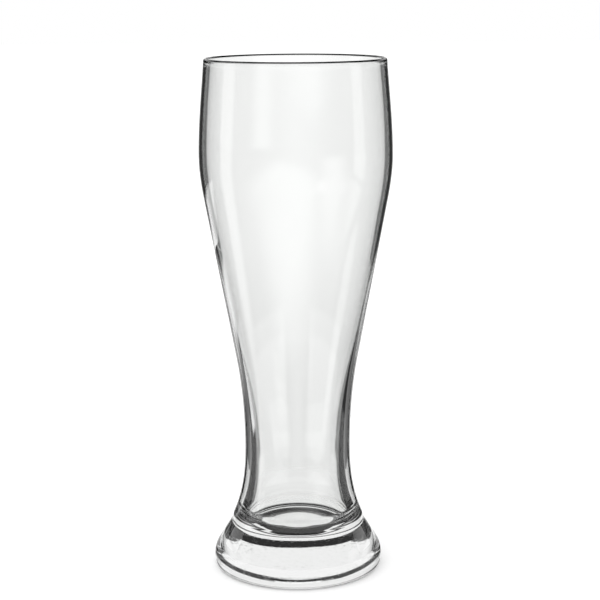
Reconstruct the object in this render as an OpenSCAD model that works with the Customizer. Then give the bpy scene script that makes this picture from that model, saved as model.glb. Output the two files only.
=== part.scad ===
// Tall wheat beer glass: a wide belly tapers to a narrow waist over a heavy solid foot.
// The origin is the centre of the flat face that the foot stands on, and +Z is the axis of the glass.
// All the glass is one turned section, parted by flat seams where its pieces are fused together.

/* [Foot] */
// Height of the foot's widest place above the table
edge_z = 4.8; // [3:0.1:7]
// How far the standing face lies in from the widest place
edge_inset = 2.3; // [1:0.1:5]
// Radius of the round above the foot's widest place
edge_r = 10; // [4:0.1:12]
// How far the widest place of the foot stands out past the crease
foot_out = 8.7; // [6:0.1:13]
// Height of the sloping flank, from the widest place to the collar
flank_h = 16; // [13:0.1:21]
// Radius of the hollow round between the flank and the collar
cove_r = 4.5; // [2:0.1:10]
// Height of the collar, from the flank to the crease
collar_h = 2.6; // [2.2:0.1:6]
// Lean of the collar from upright
collar_lean = 10; // [4:0.5:18]
// Radius of the round of the crease
crease_r = 3; // [1:0.1:6]

/* [Waist] */
// How far the crease stands out past the narrowest place
crease_out = 5.4; // [3:0.1:8]
// Lean of the wall from upright, just above the crease
crease_lean = 23; // [19:0.5:35]
// Height from the crease to the narrowest place
waist_rise = 31.6; // [24:0.1:40]
// Outer diameter at the narrowest place
waist_d = 46.6; // [40:0.1:52]
// Height from the narrowest place to the start of the straight taper
flare_rise = 40.4; // [30:0.1:50]
// How far the start of the straight taper stands out past the narrowest place
flare_out = 3.5; // [1.5:0.1:6]

/* [Bowl] */
// Height of the straight taper
taper_rise = 70; // [50:0.5:90]
// How far the straight taper opens out over its height
taper_out = 13; // [8:0.1:16]
// Height from the straight taper to the belly
belly_rise = 18; // [12:0.1:26]
// How far the belly stands out past the top of the straight taper
belly_out = 1.95; // [1:0.05:4]
// Height from the belly to the top of the rim
lip_rise = 41.6; // [30:0.1:55]

/* [Rim] */
// How far the top of the rim lies in from the belly
lip_in = 2.65; // [1:0.05:5]
// Lean of the wall from upright at the rim, inwards
lip_lean = 4; // [0:0.5:8]
// Height of the melted rim
rim_h = 4; // [2.5:0.1:8]
// Height of the round over the rim
rim_round = 1.6; // [0.8:0.1:2.4]

/* [Wall] */
// Wall at the crease
crease_wall = 6; // [4:0.1:9]
// Wall at the narrowest place
waist_wall = 4.5; // [2:0.1:6]
// Wall at the start of the straight taper
flare_wall = 2.5; // [1.4:0.1:4]
// Wall halfway up the straight taper
taper_wall = 1.5; // [1:0.1:3]
// Wall at the belly and on up to the rim
belly_wall = 1.4; // [1:0.1:3]
// Wall at the rim
lip_wall = 1.6; // [1.2:0.1:3]
// Height of the inside floor above the table
floor_z = 17.5; // [10:0.1:22]
// Radius of the round between the inside wall and the floor
floor_r = 7.5; // [3:0.1:16]

/* [Hidden] */
$fn = 180;
// Steps along each curved stretch of the section
steps = 24;
glass = [0.86, 0.9, 0.87, 0.4];

// Heights of the places on the section, from the table up
collar_z = edge_z + flank_h;
crease_z = collar_z + collar_h;
waist_z = crease_z + waist_rise;
flare_z = waist_z + flare_rise;
shoulder_z = flare_z + taper_rise;
belly_z = shoulder_z + belly_rise;
lip_z = belly_z + lip_rise;
seam_z = lip_z - rim_h;

// Outer radii of the same places, each set out from the narrowest place
waist_or = waist_d / 2;
crease_or = waist_or + crease_out;
foot_or = crease_or + foot_out;
bearing_or = foot_or - edge_inset;
flare_or = waist_or + flare_out;
shoulder_or = flare_or + taper_out;
belly_or = shoulder_or + belly_out;
lip_or = belly_or - lip_in;
reach = max(belly_or, foot_or) + 1;

// Stations up the outside: height, radius and slope of the radius
taper = taper_out / taper_rise;
outside = [
    [crease_z, crease_or, -tan(crease_lean)],
    [waist_z, waist_or, 0],
    [flare_z, flare_or, taper],
    [shoulder_z, shoulder_or, taper],
    [belly_z, belly_or, 0],
    [lip_z, lip_or, -tan(lip_lean)]
];

// Stations up the wall: height and thickness
walls = [
    [crease_z, crease_wall],
    [waist_z, waist_wall],
    [flare_z, flare_wall],
    [flare_z + taper_rise / 2, taper_wall],
    [belly_z, belly_wall],
    [seam_z, belly_wall],
    [lip_z, lip_wall]
];

// Cubic between two stations, each a height, a value and a slope
function blend(z, a, b) =
    let (h = b[0] - a[0], t = (z - a[0]) / h)
    a[1] * (2 * t ^ 3 - 3 * t ^ 2 + 1)
    + a[2] * h * (t ^ 3 - 2 * t ^ 2 + t)
    + b[1] * (3 * t ^ 2 - 2 * t ^ 3)
    + b[2] * h * (t ^ 3 - t ^ 2);

// The lower station of the stretch that holds a height
function stretch(z, list, i = 0) =
    i >= len(list) - 2 || z < list[i + 1][0] ? i : stretch(z, list, i + 1);

// Slope of the wall at a station, from its neighbours
function wall_slope(i) =
    let (a = walls[max(i - 1, 0)], b = walls[min(i + 1, len(walls) - 1)])
    (b[1] - a[1]) / (b[0] - a[0]);

function outer_r(z) =
    let (i = stretch(z, outside))
    blend(z, outside[i], outside[i + 1]);

function wall_t(z) =
    let (i = stretch(z, walls))
    blend(z, concat(walls[i], wall_slope(i)), concat(walls[i + 1], wall_slope(i + 1)));

function inner_r(z) = outer_r(z) - wall_t(z);

// Lean of the inside wall from upright, inwards
function lean_in(z) = atan((inner_r(z - 0.01) - inner_r(z + 0.01)) / 0.02);

function levels(low, high) = [for (i = [0 : steps]) low + (high - low) * i / steps];

// Direction at an angle from level
function toward(a) = [cos(a), sin(a)];

// Points of an arc, from one angle to another
function arc(centre, radii, from, to) = [
    for (i = [0 : steps])
        let (a = from + (to - from) * i / steps)
        centre + [radii[0] * cos(a), radii[1] * sin(a)]
];

// The round of the rim bridges the wall where it starts
lip_r = wall_t(lip_z - rim_round) / 2;
lip_centre = [outer_r(lip_z - rim_round) - lip_r, lip_z - rim_round];

// The round of the crease turns from the collar's lean to the lean of the wall above it
crease_centre = [crease_or, crease_z] - crease_r * toward(crease_lean);
collar_top = crease_centre + crease_r * toward(collar_lean);
collar_corner = [collar_top[0] + (collar_top[1] - collar_z) * tan(collar_lean), collar_z];

// The flank is a tangent from the collar's lower corner to the round of the edge
edge_centre = [foot_or - edge_r, edge_z];
to_collar = collar_corner - edge_centre;
flank_lean = atan2(to_collar[1], to_collar[0]) - acos(edge_r / norm(to_collar));

// The cove touches the flank and the collar
cove_half = (flank_lean - collar_lean) / 2;
cove_centre = collar_corner + cove_r / cos(cove_half) * toward(collar_lean + cove_half);

// The outside of the whole glass, filled to the axis
module body() {
    polygon(concat(
        [[0, 0]],
        arc([bearing_or, edge_z], [edge_inset, edge_z], -90, 0),
        arc(edge_centre, [edge_r, edge_r], 0, flank_lean),
        arc(cove_centre, [cove_r, cove_r], 180 + flank_lean, 180 + collar_lean),
        arc(crease_centre, [crease_r, crease_r], collar_lean, crease_lean),
        [for (i = [0 : len(outside) - 3], z = levels(outside[i][0], outside[i + 1][0])) [outer_r(z), z]],
        [for (z = levels(belly_z, lip_centre[1])) [outer_r(z), z]],
        arc(lip_centre, [lip_r, rim_round], 0, 90),
        [[0, lip_z]]
    ));
}

// The round of the floor touches the floor and the inside wall
round_lean = lean_in(floor_z + floor_r * (1 + sin(lean_in(floor_z + floor_r))));
round_z = floor_z + floor_r * (1 + sin(round_lean));
round_centre = [inner_r(round_z) - floor_r * cos(round_lean), floor_z + floor_r];

// The drinking space, from its round floor up past the rim
module cavity() {
    polygon(concat(
        [[0, floor_z]],
        arc(round_centre, [floor_r, floor_r], -90, round_lean),
        [for (z = levels(round_z, waist_z)) [inner_r(z), z]],
        [for (i = [1 : len(walls) - 3], z = levels(walls[i][0], walls[i + 1][0])) [inner_r(z), z]],
        [for (z = levels(seam_z, lip_centre[1])) [inner_r(z), z]],
        arc(lip_centre, [lip_r, rim_round], 180, 90),
        [[0, lip_z]]
    ));
}

// The turned glass between two heights
module turned(low, high) {
    rotate_extrude()
        intersection() {
            difference() {
                body();
                cavity();
            }
            translate([0, low]) square([reach, high - low]);
        }
}

// Heavy pressed foot, with the round floor of the drinking space in its top
module foot() {
    color(glass) turned(0, crease_z);
}

// Thick narrow tube that the glass is held by
module waist() {
    color(glass) turned(crease_z, flare_z);
}

// Thin tapered wall with the belly
module bowl() {
    color(glass) turned(flare_z, seam_z);
}

// Melted rim, rounded over
module rim() {
    color(glass) turned(seam_z, lip_z);
}

foot();
waist();
bowl();
rim();
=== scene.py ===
"""A tall clear wheat beer glass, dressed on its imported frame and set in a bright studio."""
import logging
import math
from dataclasses import dataclass, field
from enum import Enum
from functools import reduce
from operator import add
from typing import Any, Callable, Union

import bpy
from mathutils import Euler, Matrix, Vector


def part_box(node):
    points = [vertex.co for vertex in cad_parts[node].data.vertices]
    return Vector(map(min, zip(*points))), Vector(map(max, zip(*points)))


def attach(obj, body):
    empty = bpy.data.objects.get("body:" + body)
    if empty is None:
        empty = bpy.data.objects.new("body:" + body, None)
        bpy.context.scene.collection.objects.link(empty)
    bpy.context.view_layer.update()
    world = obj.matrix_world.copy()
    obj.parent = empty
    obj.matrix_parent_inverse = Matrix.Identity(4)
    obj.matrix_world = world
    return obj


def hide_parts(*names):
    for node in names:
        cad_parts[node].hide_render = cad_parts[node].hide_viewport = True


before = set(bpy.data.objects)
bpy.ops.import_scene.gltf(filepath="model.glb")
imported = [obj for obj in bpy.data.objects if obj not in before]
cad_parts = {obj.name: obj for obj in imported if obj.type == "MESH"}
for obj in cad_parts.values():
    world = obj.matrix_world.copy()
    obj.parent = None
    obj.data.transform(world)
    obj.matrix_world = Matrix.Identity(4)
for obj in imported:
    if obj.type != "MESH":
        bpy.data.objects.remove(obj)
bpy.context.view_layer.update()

LOG = logging.getLogger("glass")
Pair = tuple[float, float]
Triple = tuple[float, float, float]
Radius = Callable[[float], float]

# Degrees in a radian
DEGREES = 180.0 / math.pi
# Radius in metres under which a point of the section lies on the axis
ON_AXIS = 1e-7
# How far the straight taper opens out over its height
TAPER = 0.013 / 0.07
# Half widths in degrees that keep a panel closed, the second one for very soft edges
CLOSED = -9.0
WELL_CLOSED = -30.0
# Largest half width in degrees and largest brightness that a ramp holds
WIDEST = 120.0
BRIGHTEST = 2.0
# Least distance in metres and least share of light that are divided by
LEAST_REACH = 1e-4
LEAST_SHARE = 0.001
WHITE = (1.0, 1.0, 1.0, 1.0)
BLACK = (0.0, 0.0, 0.0, 1.0)


@dataclass(frozen=True)
class SkinPoint:
    """A place on the turned section and the way the glass faces there.

    Attributes:
        r: Radius in metres.
        z: Height in metres.
        out: Share of the facing that points away from the axis.
        up: Share of the facing that points up.
    """

    r: float
    z: float
    out: float
    up: float


Skin = list[SkinPoint]


@dataclass(frozen=True)
class Station:
    """A measured place on the outside of the glass.

    Attributes:
        z: Height in metres.
        r: Outer radius in metres.
        slope: Change of the radius with height.
        wall: Wall thickness in metres, or 0 where none was measured.
    """

    z: float
    r: float
    slope: float
    wall: float = 0.0


def cubic(z: float, a: Triple, b: Triple) -> float:
    """Value of the cubic between two places.

    Args:
        z: Height to read it at.
        a: Height, value and slope at the lower place.
        b: Height, value and slope at the upper place.

    Returns:
        The value at that height.
    """
    h = b[0] - a[0]
    t = (z - a[0]) / h
    return (
        a[1] * (2 * t**3 - 3 * t**2 + 1)
        + a[2] * h * (t**3 - 2 * t**2 + t)
        + b[1] * (3 * t**2 - 2 * t**3)
        + b[2] * h * (t**3 - t**2)
    )


def arc(centre: Pair, radii: Pair, start: float, end: float, steps: int, hollow: bool = False) -> Skin:
    """Skin along a round of the section.

    Args:
        centre: Radius and height of its centre.
        radii: Its reach outwards and upwards.
        start: First angle in degrees, from level.
        end: Last angle in degrees.
        steps: Number of steps.
        hollow: Whether the glass lies outside the round.

    Returns:
        The points in order.
    """
    points: Skin = []
    for i in range(steps + 1):
        a = math.radians(start + (end - start) * i / steps)
        r, z = centre[0] + radii[0] * math.cos(a), centre[1] + radii[1] * math.sin(a)
        out, up = math.cos(a) / radii[0], math.sin(a) / radii[1]
        size = math.hypot(out, up) * (-1 if hollow else 1)
        points.append(SkinPoint(r, z, out / size, up / size))
    return points


def climb(radius: Radius, low: float, high: float, steps: int, inside: bool = False) -> Skin:
    """Skin along a wall whose radius is known at every height.

    Args:
        radius: Gives the radius at a height.
        low: Height where the skin starts.
        high: Height where it ends, which may be the lower one.
        steps: Number of steps.
        inside: Whether this is the inside of the wall.

    Returns:
        The points in order.
    """
    points: Skin = []
    for i in range(steps + 1):
        z = low + (high - low) * i / steps
        slope = slope_of(radius, z)
        size = math.hypot(1, slope) * (-1 if inside else 1)
        points.append(SkinPoint(radius(z), z, 1 / size, -slope / size))
    return points


def slope_of(radius: Radius, z: float, step: float = 1e-5) -> float:
    """Change of a radius with height, from two close heights."""
    return (radius(z + step) - radius(z - step)) / (2 * step)


def leaning(degrees: float) -> float:
    """Slope of the radius where the wall leans inwards by an angle from upright."""
    return -math.tan(math.radians(degrees))


@dataclass(frozen=True)
class Wall:
    """The turned wall that all the pieces share, from the crease up to the rim, in metres.

    Attributes:
        seam_z: Height up to which the belly's wall goes on, where the rim starts to thicken.
        crease: Place where the wall rises out of the foot.
        waist: Narrowest place.
        flare: Start of the straight taper.
        shoulder: Top of the straight taper.
        belly: Widest place.
        lip: Top of the rim.
        taper_wall: Wall halfway up the straight taper.
    """

    seam_z: float
    crease: Station = Station(0.0234, 0.0287, leaning(23), 0.006)
    waist: Station = Station(0.055, 0.0233, 0.0, 0.0045)
    flare: Station = Station(0.0954, 0.0268, TAPER, 0.0025)
    shoulder: Station = Station(0.1654, 0.0398, TAPER)
    belly: Station = Station(0.1834, 0.04175, 0.0, 0.0014)
    lip: Station = Station(0.225, 0.0391, leaning(4), 0.0016)
    taper_wall: float = 0.0015

    def outer(self, z: float) -> float:
        """Outer radius at a height.

        Args:
            z: The height.

        Returns:
            The radius.
        """
        places = [self.crease, self.waist, self.flare, self.shoulder, self.belly, self.lip]
        i = sum(z >= p.z for p in places[1:-1])
        a, b = places[i], places[i + 1]
        return cubic(z, (a.z, a.r, a.slope), (b.z, b.r, b.slope))

    def thickness(self, z: float) -> float:
        """Wall thickness at a height, along the radius.

        Args:
            z: The height.

        Returns:
            The thickness.
        """
        marks = [(p.z, p.wall) for p in (self.crease, self.waist, self.flare)]
        marks.append(((self.flare.z + self.shoulder.z) / 2, self.taper_wall))
        marks += [(self.belly.z, self.belly.wall), (self.seam_z, self.belly.wall)]
        marks.append((self.lip.z, self.lip.wall))
        slopes = []
        for i in range(len(marks)):
            a, b = marks[max(i - 1, 0)], marks[min(i + 1, len(marks) - 1)]
            slopes.append((b[1] - a[1]) / (b[0] - a[0]))
        i = sum(z >= m[0] for m in marks[1:-1])
        return cubic(z, (*marks[i], slopes[i]), (*marks[i + 1], slopes[i + 1]))

    def inner(self, z: float) -> float:
        """Inner radius at a height."""
        return self.outer(z) - self.thickness(z)


Value = Union["Signal", float]


@dataclass(frozen=True)
class Signal:
    """A socket whose arithmetic adds Math nodes.

    Attributes:
        bench: The node tree's builder.
        socket: The output that carries the value, or None for a node without outputs.
    """

    bench: "Bench"
    socket: bpy.types.NodeSocket | None

    def _math(self, operation: str, a: Value, b: Value) -> "Signal":
        """Adds one Math node on two values."""
        return self.bench.node("ShaderNodeMath", {"operation": operation}, {0: a, 1: b})

    def __add__(self, other: Value) -> "Signal":
        """Sum with a value."""
        return self._math("ADD", self, other)

    def __radd__(self, other: Value) -> "Signal":
        """Sum with a number on the left."""
        return self._math("ADD", other, self)

    def __sub__(self, other: Value) -> "Signal":
        """Difference from a value."""
        return self._math("SUBTRACT", self, other)

    def __rsub__(self, other: Value) -> "Signal":
        """Difference of a number and this value."""
        return self._math("SUBTRACT", other, self)

    def __mul__(self, other: Value) -> "Signal":
        """Product with a value."""
        return self._math("MULTIPLY", self, other)

    def __rmul__(self, other: Value) -> "Signal":
        """Product with a number on the left."""
        return self._math("MULTIPLY", other, self)

    def __truediv__(self, other: Value) -> "Signal":
        """Share of a value."""
        return self._math("DIVIDE", self, other)

    def __rtruediv__(self, other: Value) -> "Signal":
        """Share of this value that a number is."""
        return self._math("DIVIDE", other, self)

    def least(self, other: Value) -> "Signal":
        """The lower of two values."""
        return self._math("MINIMUM", self, other)

    def most(self, other: Value) -> "Signal":
        """The higher of two values."""
        return self._math("MAXIMUM", self, other)

    def rise(self, start: float, end: float) -> "Signal":
        """Smooth step from 0 at one value to 1 at another.

        Args:
            start: Value where it is 0.
            end: Value where it is 1.

        Returns:
            The step.
        """
        return self.bench.node(
            "ShaderNodeMapRange",
            {"interpolation_type": "SMOOTHSTEP"},
            {"Value": self, "From Min": start, "From Max": end},
        )

    def beside(self, output: str | int) -> "Signal":
        """Another output of the same node."""
        return Signal(self.bench, self.socket.node.outputs[output])


@dataclass(frozen=True)
class Bench:
    """Adds nodes to one node tree.

    Attributes:
        tree: The node tree.
    """

    tree: bpy.types.NodeTree

    def node(
        self,
        kind: str,
        settings: dict[str, Any] | None = None,
        sockets: dict[str | int, Any] | None = None,
        output: str | int = 0,
    ) -> Signal:
        """Adds any node.

        Args:
            kind: Node type.
            settings: Properties, set first; "stops" gives a ramp's places and grey levels.
            sockets: Values or links of its inputs by name or number.
            output: Name or number of the output to return.

        Returns:
            That output, without a socket where the node has no outputs.
        """
        made = self.tree.nodes.new(kind)
        for name, value in (settings or {}).items():
            if name == "stops":
                elements = made.color_ramp.elements
                while len(elements) < len(value):
                    elements.new(1.0)
                for element, (place, level) in zip(elements, value):
                    element.position = place
                    element.color = (level, level, level, 1.0)
            else:
                setattr(made, name, value)
        for name, value in (sockets or {}).items():
            if isinstance(value, Signal):
                self.tree.links.new(value.socket, made.inputs[name])
            else:
                made.inputs[name].default_value = value
        return Signal(self, made.outputs[output] if made.outputs else None)

    def split(self, vector: Signal) -> tuple[Signal, Signal, Signal]:
        """The three parts of a vector."""
        first = self.node("ShaderNodeSeparateXYZ", sockets={0: vector})
        return first, first.beside(1), first.beside(2)

    def grey(self, level: Signal) -> Signal:
        """The grey colour of a level."""
        return self.node("ShaderNodeCombineColor", sockets={0: level, 1: level, 2: level})

    def glow(self, colour: Any, strength: float = 1.0) -> Signal:
        """A shader that gives light of one colour or of a colour signal."""
        return self.node("ShaderNodeEmission", sockets={"Color": colour, "Strength": strength})

    def shade(self, factor: Value, first: Signal, second: Signal) -> Signal:
        """Mixes two shaders, the first where the factor is 0 and the second where it is 1."""
        return self.node("ShaderNodeMixShader", sockets={0: factor, 1: first, 2: second})

    def finish(self, kind: str, shader: Signal) -> None:
        """Joins a shader to a new output node of the given type."""
        self.node(kind, sockets={"Surface": shader})


def bench_of(owner: bpy.types.Material | bpy.types.World) -> Bench:
    """An emptied node tree to build on.

    Args:
        owner: What the tree belongs to.

    Returns:
        The builder of its nodes.
    """
    owner.use_nodes = True
    owner.node_tree.nodes.clear()
    return Bench(owner.node_tree)


class Make(Enum):
    """How a portion of the glass was shaped, with the height of its waves in metres."""

    PRESSED = 0.00006
    BLOWN = 0.00002


@dataclass(frozen=True)
class ClearGlass:
    """Clear soda-lime glass with a faint waviness and light wear under the foot.

    Attributes:
        name: Material name.
        make: How the portion was shaped.
        tint: Colour that each surface passes.
        tint_deep: Colour in the slightly darker streaks.
        ior: Index of refraction.
        polish: Roughness of the fire-polished surface.
        handled: Extra roughness in the faint smears.
        worn: Roughness of the face that the glass stands on.
        drawn: How much the pattern is stretched out along the axis, as a scale.
        streak_scale: Scale of the streaks and waves.
        smear_scale: Scale of the smears.
        scuff_scale: Scale of the scuffs.
        streak_range: Noise levels between which a streak comes in.
        smear_range: Noise levels between which a smear comes in.
        scuff_range: Noise levels between which a scuff comes in.
        under_range: Heights in metres between which the wear goes out.
    """

    name: str
    make: Make
    tint: Triple = (0.988, 0.993, 0.988)
    tint_deep: Triple = (0.984, 0.989, 0.984)
    ior: float = 1.52
    polish: float = 0.0
    handled: float = 0.008
    worn: float = 0.1
    drawn: float = 0.35
    streak_scale: float = 55.0
    smear_scale: float = 140.0
    scuff_scale: float = 900.0
    streak_range: Pair = (0.45, 0.75)
    smear_range: Pair = (0.5, 0.85)
    scuff_range: Pair = (0.45, 0.7)
    under_range: Pair = (0.00005, 0.0004)

    def material(self) -> bpy.types.Material:
        """Builds the material.

        Returns:
            The glass, ready for a slot.
        """
        made = bpy.data.materials.new(self.name)
        b = bench_of(made)
        place = b.node("ShaderNodeTexCoord", output="Object")
        _, _, z = b.split(place)
        drawn = b.node("ShaderNodeMapping", sockets={"Vector": place, "Scale": (1.0, 1.0, self.drawn)})
        streaks = b.node(
            "ShaderNodeTexNoise",
            sockets={"Vector": drawn, "Scale": self.streak_scale, "Detail": 1.5, "Roughness": 0.4},
        )
        smears = b.node(
            "ShaderNodeTexNoise", sockets={"Vector": drawn, "Scale": self.smear_scale, "Detail": 3.0}
        )
        scuffs = b.node(
            "ShaderNodeTexNoise", sockets={"Vector": place, "Scale": self.scuff_scale, "Detail": 2.0}
        )
        streaked = streaks.rise(*self.streak_range)
        colour = b.node(
            "ShaderNodeMix",
            {"data_type": "RGBA"},
            {"Factor": streaked, "A": (*self.tint, 1.0), "B": (*self.tint_deep, 1.0)},
            "Result",
        )
        under = 1.0 - z.rise(*self.under_range)
        smeared = self.polish + smears.rise(*self.smear_range) * self.handled
        rough = smeared + under * scuffs.rise(*self.scuff_range) * self.worn
        bump = b.node(
            "ShaderNodeBump",
            sockets={"Strength": 1.0, "Distance": self.make.value, "Height": streaks},
        )
        shader = b.node(
            "ShaderNodeBsdfPrincipled",
            sockets={
                "Base Color": colour,
                "Roughness": rough,
                "Normal": bump,
                "IOR": self.ior,
                "Transmission Weight": 1.0,
            },
        )
        b.finish("ShaderNodeOutputMaterial", shader)
        return made


@dataclass
class TurnedPiece:
    """One fused portion of the glass, made as the skins that its node shows, without its seams.

    Attributes:
        wall: The wall that all the portions share.
        finish: The glass it is made of.
        node: Name of the node that it stands for.
        around: Steps round the axis.
    """

    wall: Wall
    finish: ClearGlass
    node: str = ""
    around: int = 360

    def skins(self) -> list[Skin]:
        """The open skins of this portion, each with the air on its right."""
        raise NotImplementedError

    def build(self) -> bpy.types.Object:
        """Turns the skins about the axis.

        Returns:
            The finished piece, dressed and riding on the body.
        """
        points: list[Triple] = []
        facing: list[Triple] = []
        faces: list[tuple[int, ...]] = []
        turns = [2 * math.pi * k / self.around for k in range(self.around)]
        for skin in self.skins():
            rings: list[list[int]] = []
            for p in skin:
                first = len(points)
                if p.r < ON_AXIS:
                    points.append((0.0, 0.0, p.z))
                    facing.append((0.0, 0.0, p.up))
                    rings.append([first] * self.around)
                else:
                    points += [(p.r * math.cos(a), p.r * math.sin(a), p.z) for a in turns]
                    facing += [(p.out * math.cos(a), p.out * math.sin(a), p.up) for a in turns]
                    rings.append(list(range(first, first + self.around)))
            for low, high in zip(rings, rings[1:]):
                for k in range(self.around):
                    n = (k + 1) % self.around
                    # On the axis two corners are one, and the face is a triangle
                    faces.append(tuple(dict.fromkeys((low[k], low[n], high[n], high[k]))))
        mesh = bpy.data.meshes.new(f"glass_{self.node}")
        mesh.from_pydata(points, [], faces)
        mesh.shade_smooth()
        mesh.normals_split_custom_set([facing[loop.vertex_index] for loop in mesh.loops])
        piece = bpy.data.objects.new(f"glass_{self.node}", mesh)
        bpy.context.scene.collection.objects.link(piece)
        self.dress(piece)
        return piece

    def dress(self, piece: bpy.types.Object) -> None:
        """Gives the piece its glass and sets it on the frame.

        Args:
            piece: The turned piece.
        """
        piece.data.materials.append(self.finish.material())
        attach(piece, "root")
        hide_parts(self.node)


@dataclass
class Foot(TurnedPiece):
    """The heavy pressed foot, with the round floor of the drinking space in its top.

    Attributes:
        edge_z: Height of the widest place.
        edge_inset: How far the standing face lies in from the widest place.
        edge_r: Round above the widest place.
        foot_out: How far the widest place stands out past the crease.
        flank_h: Height of the sloping flank.
        cove_r: Hollow round between the flank and the collar.
        collar_lean: Lean of the collar from upright, in degrees.
        crease_r: Round of the crease.
        floor_z: Height of the inside floor.
        floor_r: Round between the inside wall and the floor.
        face_rings: Rings of the standing face.
        edge_steps: Steps along each round of the edge.
        cove_steps: Steps along the cove.
        crease_steps: Steps along the round of the crease.
        round_steps: Steps along the floor's round below the crease.
        top_steps: Steps along the floor's round above the crease.
        floor_rings: Rings of the flat floor.
        tries: Tries that settle where the floor's round leaves the wall.
    """

    node: str = "foot"
    edge_z: float = 0.0048
    edge_inset: float = 0.0023
    edge_r: float = 0.01
    foot_out: float = 0.0087
    flank_h: float = 0.016
    cove_r: float = 0.0045
    collar_lean: float = 10.0
    crease_r: float = 0.003
    floor_z: float = 0.0175
    floor_r: float = 0.0075
    face_rings: int = 8
    edge_steps: int = 24
    cove_steps: int = 16
    crease_steps: int = 10
    round_steps: int = 28
    top_steps: int = 24
    floor_rings: int = 4
    tries: int = 4

    def skins(self) -> list[Skin]:
        """The underside, edge, flank and collar, and the floor of the drinking space."""
        return [self.outside(), self.inside()]

    def outside(self) -> Skin:
        """Skin from the middle of the underside out and up to the crease.

        Returns:
            The points in order.
        """
        # The round of the crease turns from the collar's lean to the lean of the wall above it
        crease = self.wall.crease
        lean = math.degrees(math.atan(-crease.slope))
        round_at = (
            crease.r - self.crease_r * math.cos(math.radians(lean)),
            crease.z - self.crease_r * math.sin(math.radians(lean)),
        )
        tilt = math.radians(self.collar_lean)
        collar_z = self.edge_z + self.flank_h
        collar_r = (
            round_at[0]
            + self.crease_r * math.cos(tilt)
            + (round_at[1] + self.crease_r * math.sin(tilt) - collar_z) * math.tan(tilt)
        )
        # The flank is a tangent from the collar's lower corner to the round of the edge
        foot_r = crease.r + self.foot_out
        edge_at = (foot_r - self.edge_r, self.edge_z)
        far = (collar_r - edge_at[0], collar_z - edge_at[1])
        flank = math.degrees(math.atan2(far[1], far[0]) - math.acos(self.edge_r / math.hypot(*far)))
        # The cove touches the flank and the collar
        half = (flank - self.collar_lean) / 2
        reach = self.cove_r / math.cos(math.radians(half))
        mean = math.radians(self.collar_lean + half)
        cove_at = (collar_r + reach * math.cos(mean), collar_z + reach * math.sin(mean))
        cove_ends = (180 + flank, 180 + self.collar_lean)
        face_r = foot_r - self.edge_inset
        skin = [SkinPoint(face_r * i / self.face_rings, 0.0, 0.0, -1.0) for i in range(self.face_rings)]
        skin += arc((face_r, self.edge_z), (self.edge_inset, self.edge_z), -90, 0, self.edge_steps)[:-1]
        skin += arc(edge_at, (self.edge_r, self.edge_r), 0, flank, self.edge_steps)
        skin += arc(cove_at, (self.cove_r, self.cove_r), *cove_ends, self.cove_steps, hollow=True)
        skin += arc(round_at, (self.crease_r, self.crease_r), self.collar_lean, lean, self.crease_steps)
        return skin

    def inside(self) -> Skin:
        """Skin from the crease's height down the inside to the middle of the floor.

        Returns:
            The points in order.
        """
        centre, _ = self.floor_round()
        radii = (self.floor_r, self.floor_r)
        skin = arc(centre, radii, self.crease_angle(), -90, self.round_steps, hollow=True)
        for i in range(1, self.floor_rings + 1):
            skin.append(SkinPoint(centre[0] * (1 - i / self.floor_rings), self.floor_z, 0.0, 1.0))
        return skin

    def floor_top(self) -> Skin:
        """Skin of the floor's round above the crease, which the waist carries on.

        Returns:
            The points from the inside wall down to the crease's height.
        """
        centre, lean = self.floor_round()
        radii = (self.floor_r, self.floor_r)
        return arc(centre, radii, lean, self.crease_angle(), self.top_steps, hollow=True)

    def crease_angle(self) -> float:
        """Angle of the floor's round at the crease's height, in degrees."""
        return math.degrees(math.asin((self.wall.crease.z - self.floor_z) / self.floor_r - 1))

    def floor_round(self) -> tuple[Pair, float]:
        """Where the round between the inside wall and the floor lies.

        Returns:
            Its centre, and the angle in degrees where it leaves the wall.
        """
        turn, turn_z = 0.0, self.floor_z + self.floor_r
        for _ in range(self.tries):
            turn = math.atan(-slope_of(self.wall.inner, turn_z))
            turn_z = self.floor_z + self.floor_r * (1 + math.sin(turn))
        centre = (self.wall.inner(turn_z) - self.floor_r * math.cos(turn), self.floor_z + self.floor_r)
        return centre, math.degrees(turn)


@dataclass
class Waist(TurnedPiece):
    """The thick narrow tube that the glass is held by.

    Attributes:
        floor: Skin of the floor's round where it reaches above the crease.
        outer_steps: Steps up the outside.
        inner_steps: Steps down the inside.
    """

    node: str = "waist"
    floor: Skin = field(default_factory=list)
    outer_steps: int = 80
    inner_steps: int = 64

    def skins(self) -> list[Skin]:
        """The outside going up, and the inside going down to the floor's round.

        Returns:
            The two skins.
        """
        w = self.wall
        outside = climb(w.outer, w.crease.z, w.flare.z, self.outer_steps)
        inside = climb(w.inner, w.flare.z, self.floor[0].z, self.inner_steps, inside=True)[:-1]
        return [outside, inside + self.floor]


@dataclass
class Bowl(TurnedPiece):
    """The thin wall: the straight taper and the belly.

    Attributes:
        steps: Steps up each side of the wall.
    """

    node: str = "bowl"
    steps: int = 120

    def skins(self) -> list[Skin]:
        """The outside going up and the inside going down.

        Returns:
            The two skins.
        """
        w = self.wall
        outside = climb(w.outer, w.flare.z, w.seam_z, self.steps)
        inside = climb(w.inner, w.seam_z, w.flare.z, self.steps, inside=True)
        return [outside, inside]


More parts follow.
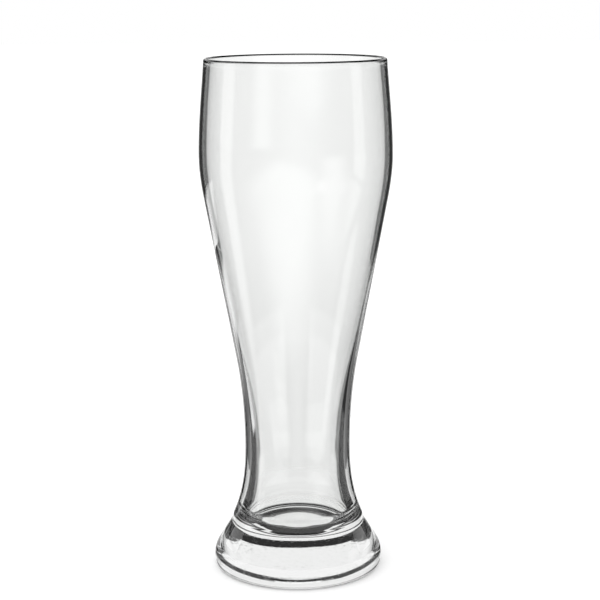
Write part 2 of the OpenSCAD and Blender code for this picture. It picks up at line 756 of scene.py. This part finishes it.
@dataclass
class Rim(TurnedPiece):
    """The melted rim, rounded over.

    Attributes:
        rim_round: Height of the round over the rim.
        side_steps: Steps up each side below the round.
        round_steps: Steps over the round.
    """

    node: str = "rim"
    rim_round: float = 0.0016
    side_steps: int = 12
    round_steps: int = 32

    def skins(self) -> list[Skin]:
        """The outside, the round top and the inside in one skin.

        Returns:
            That skin alone.
        """
        w = self.wall
        top = w.lip.z - self.rim_round
        half = w.thickness(top) / 2
        centre = (w.outer(top) - half, top)
        outside = climb(w.outer, w.seam_z, top, self.side_steps)[:-1]
        over = arc(centre, (half, self.rim_round), 0, 180, self.round_steps)
        inside = climb(w.inner, top, w.seam_z, self.side_steps, inside=True)[1:]
        return [outside + over + inside]


@dataclass(frozen=True)
class Window:
    """A panel that the glass is shown against.

    Attributes:
        axis: Compass direction that it stands in, in degrees from +X.
        widths: Elevations with its half width there, in degrees; a negative half width closes it.
        share: Its strength, which for a bright panel is a share of the studio's brightness.
        edge: Half width of its soft edge, in degrees.
    """

    axis: float
    widths: tuple[Pair, ...]
    share: float = 1.0
    edge: float = 1.0


@dataclass(frozen=True)
class Patch:
    """A bright stretch of the floor that the glass is shown against from one side.

    Attributes:
        axis: Compass direction that it lies in, in degrees from +X.
        width: Its half width in degrees.
        near: Distance from the axis where it starts, in metres.
        far: Distance where it ends.
        share: Its brightness.
        edge: Half width of its soft sides, in degrees.
        blur: Half width of its soft near and far edges, as a share of their distance.
    """

    axis: float
    width: float
    near: float
    far: float
    share: float = 0.92
    edge: float = 3.0
    blur: float = 0.03


@dataclass(frozen=True)
class Hoop:
    """A thin sloping hoop round the glass, or a stretch of one, seen through the glass from one side.

    Attributes:
        name: Object name.
        radii: Radii of its two edges in metres; it is seen from below if the first is the smaller,
            else from above.
        heights: Heights of the same edges.
        level: Its brightness.
        axis: Compass direction of its middle, in degrees from +X.
        spread: Half of the angle that it goes round.
        steps: Steps round it.
    """

    name: str
    radii: Pair
    heights: Pair
    level: float
    axis: float = 0.0
    spread: float = 180.0
    steps: int = 120


@dataclass(frozen=True)
class Studio:
    """A white room with a pale floor and soft light, and the set that clear glass is shown against.

    The camera sees the room and the floor. Rays that come off or through the glass see the set:
    dark sides with bright windows and bands, bright stretches of the floor, hoops and a panel.

    Attributes:
        windows: The bright panels.
        patches: The bright stretches of the floor.
        flags: The dark panels in front of the bands.
        hoops: The hoops that draw the foot's lower edge, and the sloping panel behind the bowl.
        bands: The bright low bands round the room, sharp behind the glass and soft in front of it.
        levels: Elevation and brightness of what is bright.
        dark: Brightness of the dark sides.
        fade: Share of its brightness that a window loses beside its middle line.
        fade_over: Angle in degrees over which it loses that.
        floor_colour: Colour of the floor.
        floor_lift: Light that the floor gives to the camera alone.
        floor_half: Half of the floor's side, in metres.
        floor_drop: How far the floor lies under the glass, in metres.
        lamp_place: Where the lamp hangs, in metres.
        lamp_size: Its width in metres.
        lamp_power: Its power in watts.
    """

    windows: tuple[Window, ...] = (
        Window(90, (
            (-22.5, CLOSED), (-21.5, 28), (-17, 27), (-14.5, 20), (-12, 11.5), (-9.5, 10.5), (-8, 10.5),
            (-5, 10.5), (-0.8, 11), (5.5, 11), (7, CLOSED),
        )),
        Window(90, (
            (-27, CLOSED), (-26, 34), (-22, 34), (-17, 29), (-14.5, 23), (-12, 17.5), (-9, 16), (6, 16),
            (7.5, CLOSED),
        ), share=0.25),
        Window(180, ((-5, CLOSED), (-4, 10), (5.5, 10), (7, CLOSED)), edge=3.0),
        Window(315, ((-24, CLOSED), (-21, 18), (-16.5, 16), (-14.5, CLOSED)), edge=4.0),
        Window(135, ((-40, CLOSED), (-37, 18), (-26, 16), (-23.5, CLOSED)), edge=4.0),
        Window(135, ((28, CLOSED), (29, 32), (36, 32), (37, CLOSED)), edge=2.0),
    )
    patches: tuple[Patch, ...] = (
        Patch(135, 11, 0.26, 0.45, share=1.0, edge=6, blur=0.12),
        Patch(180, 9, 0.1, 2.8, share=1.0, edge=3, blur=0.15),
        Patch(315, 12, 0.3, 2.4, share=0.95, edge=9, blur=0.3),
        Patch(90, 187, 0.0001, 0.0085),
        Patch(90, 112, 0.0085, 0.0255),
        Patch(90, 60, 0.0255, 0.0338),
        Patch(90, 50, 0.041, 0.12),
        Patch(218, 30, 0.043, 0.2),
        Patch(322, 30, 0.043, 0.2),
    )
    flags: tuple[Window, ...] = (
        Window(28, ((19.4, CLOSED), (19.5, 0), (20.6, 12), (20.85, 38)), edge=2.0),
        Window(152, ((19.4, CLOSED), (19.5, 0), (20.6, 12), (20.85, 38)), edge=2.0),
    )
    hoops: tuple[Hoop, ...] = (
        Hoop("dark_hoop", (0.039, 0.0423), (0.0138, 0.0118), 0.03),
        Hoop("pale_hoop", (0.039, 0.0475), (0.0106, 0.0055), 0.92),
        Hoop("sloping_panel", (0.75, 0.1), (0.0141, 0.124), 0.92, axis=135, spread=17),
    )
    bands: tuple[Window, ...] = (
        Window(105, ((5.9, WELL_CLOSED), (7.2, 92), (21.9, 92), (22.7, WELL_CLOSED)), edge=15.0),
        Window(292, ((0, WELL_CLOSED), (16, 78), (27, 78), (28, WELL_CLOSED)), edge=30.0),
    )
    levels: tuple[Pair, ...] = (
        (-34, 0.9), (-17.7, 0.98), (-13, 1.05), (-9.5, 1.1), (-3.5, 1.12), (0, 1.12), (5, 0.95),
    )
    dark: float = 0.03
    fade: float = 0.06
    fade_over: float = 2.5
    floor_colour: Triple = (0.9, 0.9, 0.9)
    floor_lift: float = 0.24
    floor_half: float = 6.0
    floor_drop: float = 0.0002
    lamp_place: Triple = (-0.5, -0.3, 1.8)
    lamp_size: float = 1.6
    lamp_power: float = 6.0

    def build(self) -> None:
        """Makes the floor, the hoops, the surroundings and the lamp."""
        self.floor()
        for hoop in self.hoops:
            self.hang(hoop)
        self.surroundings()
        self.lamp()

    def ramp(self, b: Bench, degrees: Signal, stops: tuple[Pair, ...], scale: float) -> Signal:
        """Reads a value off a list of elevations, which keeps its end values beyond its ends.

        Args:
            b: Builder of the node tree.
            degrees: Elevation in degrees.
            stops: Elevations with their values.
            scale: Largest value, by which the ramp's levels are divided.

        Returns:
            The value at that elevation.
        """
        places = [((e + 90) / 180, 0.5 + v / scale / 2) for e, v in stops]
        level = b.node("ShaderNodeValToRGB", {"stops": places}, {0: (degrees + 90.0) / 180.0})
        return level * (2.0 * scale) - scale

    def reach(self, b: Bench, x: Signal, y: Signal) -> Signal:
        """Distance from the axis of the glass."""
        return b.node("ShaderNodeMath", {"operation": "SQRT"}, {0: x * x + y * y}).most(LEAST_REACH)

    def apart(self, b: Bench, x: Signal, y: Signal, axis: float) -> Signal:
        """Angle between a level direction and a compass direction.

        Args:
            b: Builder of the node tree.
            x: Part of the direction along +X.
            y: Part along +Y.
            axis: The compass direction in degrees from +X.

        Returns:
            The angle in degrees.
        """
        a = math.radians(axis)
        along = ((x * math.cos(a) + y * math.sin(a)) / self.reach(b, x, y)).least(1.0).most(-1.0)
        return b.node("ShaderNodeMath", {"operation": "ARCCOSINE"}, {0: along}) * DEGREES

    def panel(self, b: Bench, level: tuple[Signal, Signal], height: Signal, window: Window) -> Signal:
        """A panel's share where a level direction and its elevation meet it, and 0 outside it."""
        past = self.apart(b, *level, window.axis) - self.ramp(b, height, window.widths, WIDEST)
        return (1.0 - past.rise(-window.edge, window.edge)) * window.share

    def stretch(self, b: Bench, x: Signal, y: Signal, patch: Patch) -> Signal:
        """How far a place on the floor lies in a bright stretch of it.

        Args:
            b: Builder of the node tree.
            x: The place along +X.
            y: The place along +Y.
            patch: The stretch.

        Returns:
            1 inside it and 0 outside it.
        """
        far = self.reach(b, x, y)
        side = self.apart(b, x, y, patch.axis).rise(patch.width - patch.edge, patch.width + patch.edge)
        start = far.rise(patch.near * (1 - patch.blur), patch.near * (1 + patch.blur))
        end = far.rise(patch.far * (1 - patch.blur), patch.far * (1 + patch.blur))
        return (1.0 - side) * (start * (1.0 - end))

    def glass_rays(self, b: Bench) -> Signal:
        """1 for rays that come off or through the glass."""
        glossy = b.node("ShaderNodeLightPath", output="Is Glossy Ray")
        return glossy.most(glossy.beside("Is Transmission Ray"))

    def surroundings(self) -> None:
        """Makes the world: white to the camera, plain soft light, and the set for the glass."""
        world = bpy.data.worlds.new("studio")
        bpy.context.scene.world = world
        b = bench_of(world)
        x, y, z = b.split(b.node("ShaderNodeTexCoord", output="Generated"))
        height = b.node("ShaderNodeMath", {"operation": "ARCSINE"}, {0: z}) * DEGREES
        bright = reduce(Signal.most, [self.panel(b, (x, y), height, band) for band in self.bands])
        for flag in self.flags:
            bright = bright * (1.0 - self.panel(b, (x, y), height, flag))
        for window in self.windows:
            fading = 1.0 - self.apart(b, x, y, window.axis).rise(0.0, self.fade_over) * self.fade
            bright = bright.most(self.panel(b, (x, y), height, window) * fading)
        seen = bright * (self.ramp(b, height, self.levels, BRIGHTEST) - self.dark) + self.dark
        camera = b.node("ShaderNodeLightPath", output="Is Camera Ray")
        level = 1.0 - self.glass_rays(b) * (1.0 - camera) * (1.0 - seen)
        shader = b.node("ShaderNodeBackground", sockets={"Color": b.grey(level), "Strength": 1.0})
        b.finish("ShaderNodeOutputWorld", shader)

    def floor(self) -> None:
        """Makes the floor, which keeps the shadow."""
        h = self.floor_half
        mesh = bpy.data.meshes.new("floor")
        mesh.from_pydata([(-h, -h, 0), (h, -h, 0), (h, h, 0), (-h, h, 0)], [], [(0, 1, 2, 3)])
        mesh.materials.append(self.floor_paint())
        plane = bpy.data.objects.new("floor", mesh)
        plane.location.z = -self.floor_drop
        bpy.context.scene.collection.objects.link(plane)

    def floor_paint(self) -> bpy.types.Material:
        """Makes the pale paint, which the glass sees as bright stretches and looks through elsewhere.

        Returns:
            The floor's material.
        """
        made = bpy.data.materials.new("pale_floor")
        b = bench_of(made)
        paint = b.node("ShaderNodeBsdfDiffuse", sockets={"Color": (*self.floor_colour, 1.0)})
        camera = b.node("ShaderNodeLightPath", output="Is Camera Ray")
        lift = b.shade(camera, b.glow(BLACK, 0.0), b.glow(WHITE, self.floor_lift))
        top = b.node("ShaderNodeAddShader", sockets={0: paint, 1: lift})
        x, y, _ = b.split(b.node("ShaderNodeTexCoord", output="Object"))
        parts = [self.stretch(b, x, y, patch) for patch in self.patches]
        lit = reduce(add, parts)
        light = reduce(add, [part * patch.share for part, patch in zip(parts, self.patches)])
        bright = b.glow(b.grey(light / lit.most(LEAST_SHARE)))
        below = b.shade(lit, b.node("ShaderNodeBsdfTransparent"), bright)
        b.finish("ShaderNodeOutputMaterial", b.shade(self.glass_rays(b), top, below))
        return made

    def hang(self, hoop: Hoop) -> None:
        """Makes a hoop or a stretch of one round the glass.

        Args:
            hoop: Its shape and brightness.
        """
        n = hoop.steps
        turns = [math.radians(hoop.axis + hoop.spread * (2 * k / n - 1)) for k in range(n + 1)]
        edges = zip(hoop.radii, hoop.heights)
        points = [(r * math.cos(a), r * math.sin(a), z) for r, z in edges for a in turns]
        mesh = bpy.data.meshes.new(hoop.name)
        mesh.from_pydata(points, [], [(k, k + n + 1, k + n + 2, k + 1) for k in range(n)])
        made = bpy.data.materials.new(hoop.name)
        b = bench_of(made)
        back = b.node("ShaderNodeNewGeometry", output="Backfacing")
        shown = b.glow((hoop.level, hoop.level, hoop.level, 1.0))
        clear = b.node("ShaderNodeBsdfTransparent")
        b.finish("ShaderNodeOutputMaterial", b.shade(self.glass_rays(b) * back, clear, shown))
        mesh.materials.append(made)
        hung = bpy.data.objects.new(hoop.name, mesh)
        bpy.context.scene.collection.objects.link(hung)

    def lamp(self) -> None:
        """Hangs one wide soft lamp above the glass, which the glass itself doesn't mirror."""
        light = bpy.data.lights.new("soft_top", "AREA")
        light.shape = "DISK"
        light.size = self.lamp_size
        light.energy = self.lamp_power
        hung = bpy.data.objects.new("soft_top", light)
        hung.location = self.lamp_place
        hung.rotation_euler = (-Vector(self.lamp_place)).to_track_quat("-Z", "Y").to_euler()
        hung.visible_glossy = False
        hung.visible_transmission = False
        bpy.context.scene.collection.objects.link(hung)


@dataclass(frozen=True)
class Viewpoint:
    """The camera at the photograph's viewing angle.

    Attributes:
        place: Where it stands, in metres.
        pitch: How far it looks down, in degrees.
        turn: How far it looks to the side, in degrees.
        roll: How far it is tipped, in degrees.
        lens: Focal length in millimetres.
        sensor: Width of the frame in millimetres.
        clip: Nearest distance that it sees, in metres.
    """

    place: Triple = (0.0, -0.68865, 0.25748)
    pitch: float = 11.29
    turn: float = -0.1214
    roll: float = -0.32
    lens: float = 96.3
    sensor: float = 36.0
    clip: float = 0.01

    def build(self) -> None:
        """Makes the camera and gives it to the scene."""
        lens = bpy.data.cameras.new("viewpoint")
        lens.lens = self.lens
        lens.sensor_width = self.sensor
        lens.clip_start = self.clip
        camera = bpy.data.objects.new("viewpoint", lens)
        camera.location = self.place
        camera.rotation_mode = "QUATERNION"
        camera.rotation_quaternion = (
            Euler((0.0, 0.0, math.radians(self.turn))).to_quaternion()
            @ Euler((math.radians(90.0 - self.pitch), 0.0, 0.0)).to_quaternion()
            @ Euler((0.0, 0.0, math.radians(self.roll))).to_quaternion()
        )
        bpy.context.scene.collection.objects.link(camera)
        bpy.context.scene.camera = camera


def report(piece: bpy.types.Object) -> None:
    """Logs a piece with its size."""
    size = [round(1000 * d, 1) for d in piece.dimensions]
    LOG.info("%s: %d faces, %s mm", piece.name, len(piece.data.polygons), size)


def main() -> None:
    """Builds the glass, the studio and the camera, in that order."""
    logging.basicConfig(level=logging.INFO, format="%(name)s: %(message)s")
    bpy.context.scene.view_settings.view_transform = "Standard"
    wall = Wall(seam_z=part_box("rim")[0][2])
    pressed = ClearGlass("clear_glass_pressed", Make.PRESSED)
    blown = ClearGlass("clear_glass_blown", Make.BLOWN)
    foot = Foot(wall, pressed)
    waist = Waist(wall, blown, floor=foot.floor_top())
    for part in (foot, waist, Bowl(wall, blown), Rim(wall, blown)):
        report(part.build())
    Studio().build()
    Viewpoint().build()


if __name__ == "__main__":
    main()
